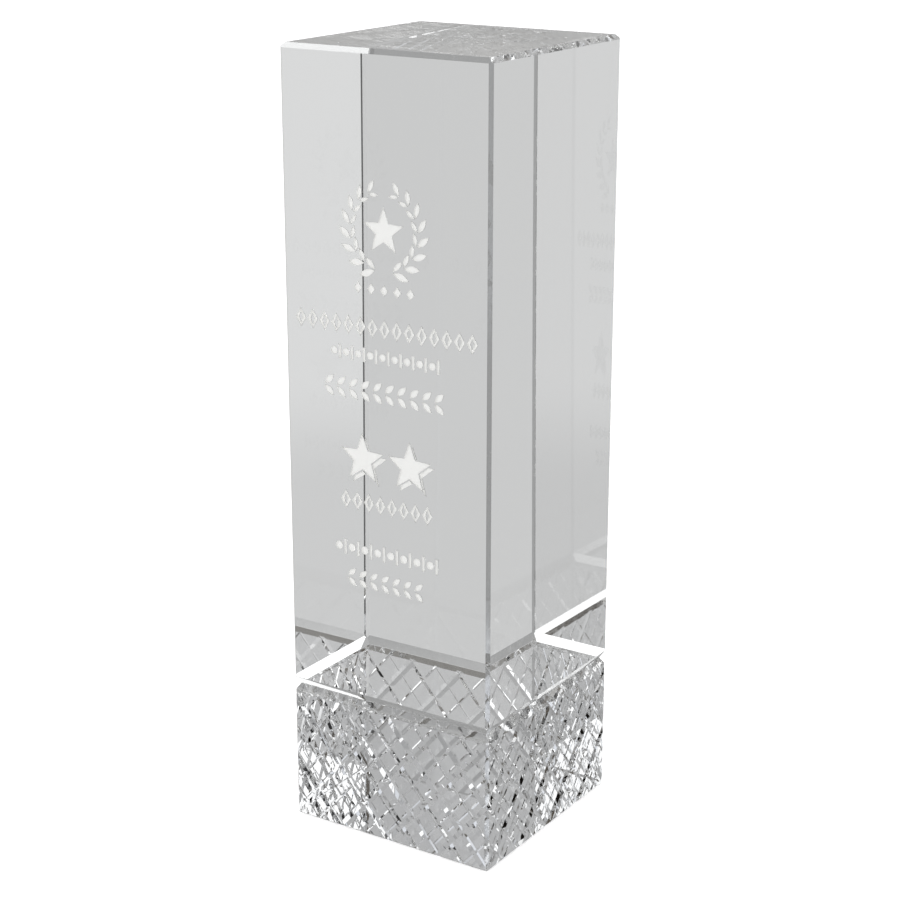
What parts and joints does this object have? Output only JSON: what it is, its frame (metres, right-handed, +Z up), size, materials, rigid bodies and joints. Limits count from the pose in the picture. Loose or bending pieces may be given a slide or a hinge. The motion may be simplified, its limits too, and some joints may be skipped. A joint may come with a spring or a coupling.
{
  "type": "crystal award",
  "caption": "Tall square clear crystal award tower with polished chamfered edges, a frosted carved face and a diamond-cut base block bonded on below a V groove",
  "frame": {"origin": "centre of the underside, at the bottom of the object's box", "axes": "+Z up along the height; the carved front face looks along -Y; +X is to the right when the front face is seen"},
  "size_m": [0.06, 0.06, 0.203],
  "materials": {
    "cut_crystal": "wheel-cut and polished clear optical crystal",
    "clear_adhesive": "clear UV-cured adhesive film",
    "polished_crystal": "polished clear optical crystal with a sand-carved frosted ornament on one face"
  },
  "bodies": {
    "root": {"cut_base_block": "cut_crystal", "bond_film": "clear_adhesive", "tower_block": "polished_crystal"}
  },
  "joints": []
}
